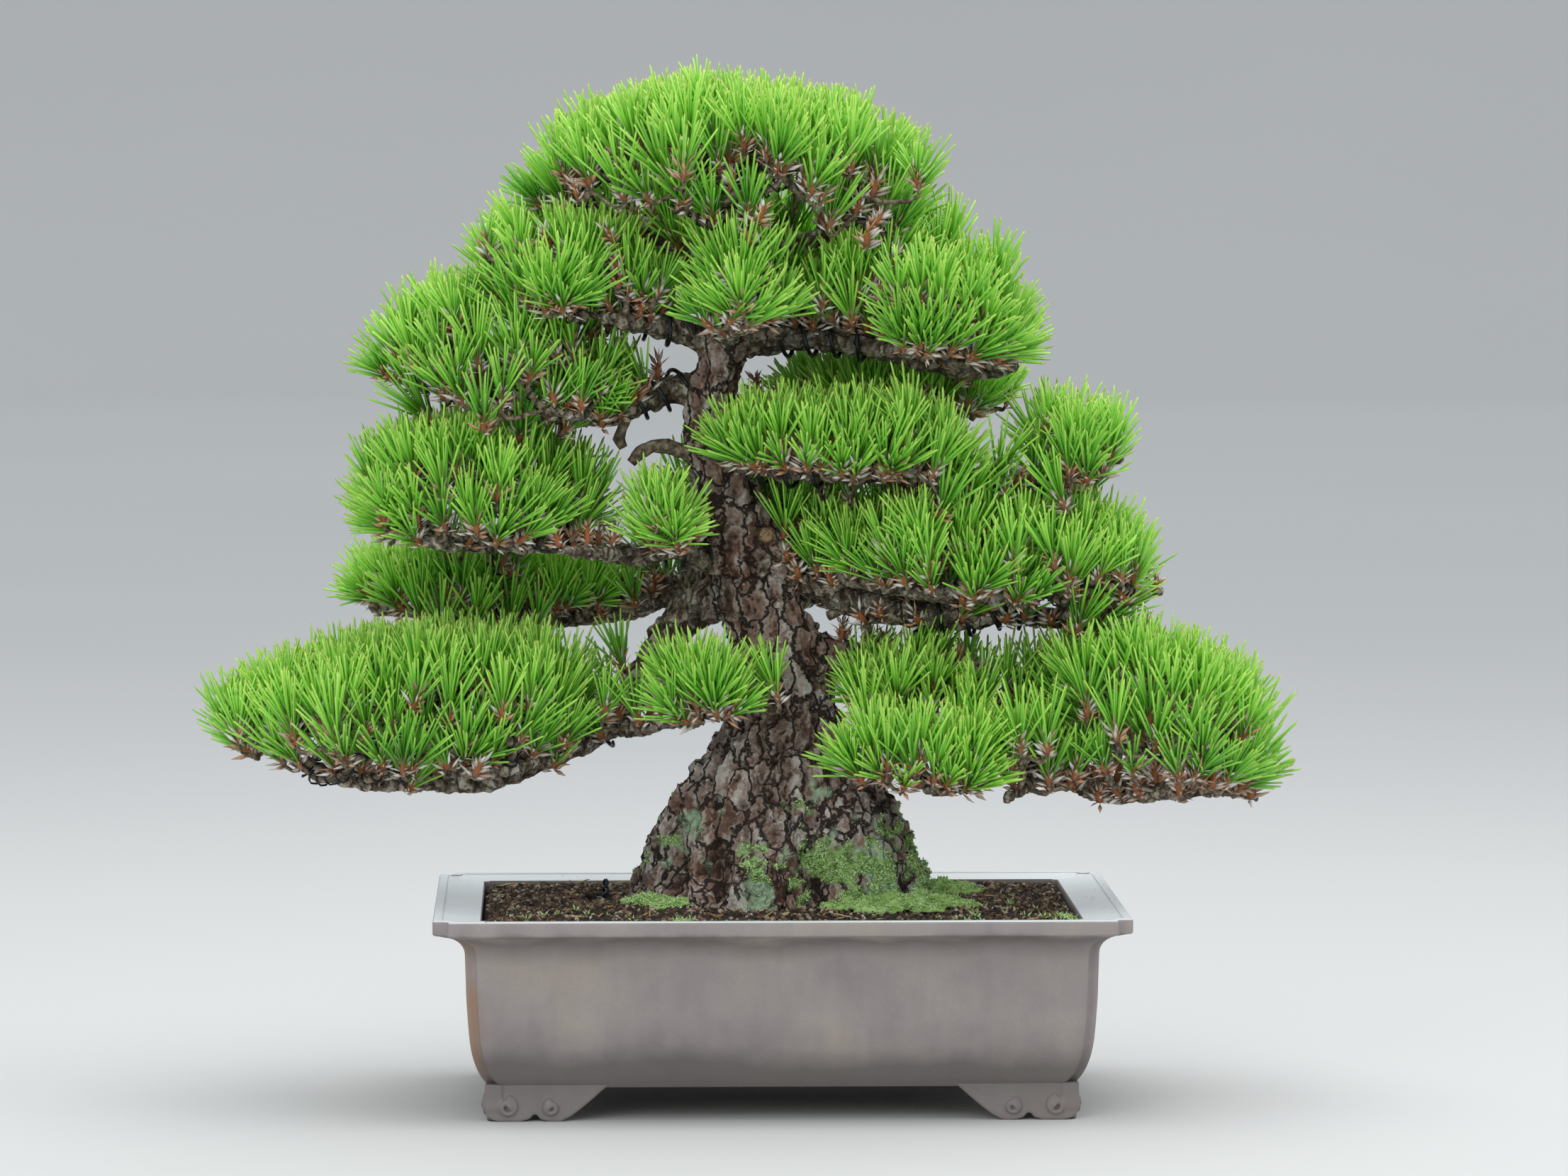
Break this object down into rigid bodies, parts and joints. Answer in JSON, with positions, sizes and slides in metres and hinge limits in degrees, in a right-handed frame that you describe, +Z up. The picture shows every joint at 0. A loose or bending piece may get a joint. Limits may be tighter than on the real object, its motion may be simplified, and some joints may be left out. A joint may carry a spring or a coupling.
{
  "type": "potted bonsai tree",
  "caption": "Wired pine bonsai with layered foliage clouds and a flared trunk, in a shallow rectangular pot with notched corners and cloud-shaped feet.",
  "frame": {"origin": "bottom centre of the whole object's box, on the plane the feet stand on", "axes": "+X to the right as seen from the tree's front, along the pot's long side; +Y to the back; +Z up"},
  "size_m": [0.7308, 0.3292, 0.678],
  "materials": {
    "stoneware": "unglazed stoneware, satin, purplish brown-grey",
    "pine_bark": "flaky plated bark, grey-brown",
    "pine_needles": "dense stiff needles, fresh yellow-green",
    "potting_soil": "granular dark brown soil",
    "pumice_grit": "coarse pale grit",
    "moss": "short soft moss",
    "training_wire": "dark anodised, satin",
    "plain_wire": "bare drawn wire",
    "screen_plastic": "black moulded mesh"
  },
  "bodies": {
    "root": {"drain_screen_left": "screen_plastic", "drain_screen_right": "screen_plastic", "drainage_layer": "pumice_grit", "foliage_back_low": "pine_needles", "foliage_back_mid": "pine_needles", "foliage_crown_back": "pine_needles", "foliage_crown_front": "pine_needles", "foliage_crown_left": "pine_needles", "foliage_crown_right": "pine_needles", "foliage_crown_top": "pine_needles", "foliage_low_left": "pine_needles", "foliage_low_left_inner": "pine_needles", "foliage_low_right": "pine_needles", "foliage_low_right_front": "pine_needles", "foliage_low_right_inner": "pine_needles", "foliage_mid_left": "pine_needles", "foliage_mid_left_inner": "pine_needles", "foliage_mid_right": "pine_needles", "foliage_rear_left": "pine_needles", "foliage_rear_upper_right": "pine_needles", "foliage_upper_left": "pine_needles", "foliage_upper_right": "pine_needles", "foliage_upper_right_end": "pine_needles", "moss_back": "moss", "moss_left_front": "moss", "moss_right_front": "moss", "moss_right_rear": "moss", "pot": "stoneware", "screen_staple_left": "plain_wire", "screen_staple_right": "plain_wire", "soil": "potting_soil", "tie_wire": "plain_wire", "trunk_and_branches": "pine_bark", "wire_crown_left": "training_wire", "wire_crown_right": "training_wire", "wire_low_left": "training_wire", "wire_low_right": "training_wire", "wire_mid_left": "training_wire", "wire_mid_right": "training_wire", "wire_upper_left": "training_wire", "wire_upper_right": "training_wire"}
  },
  "joints": []
}
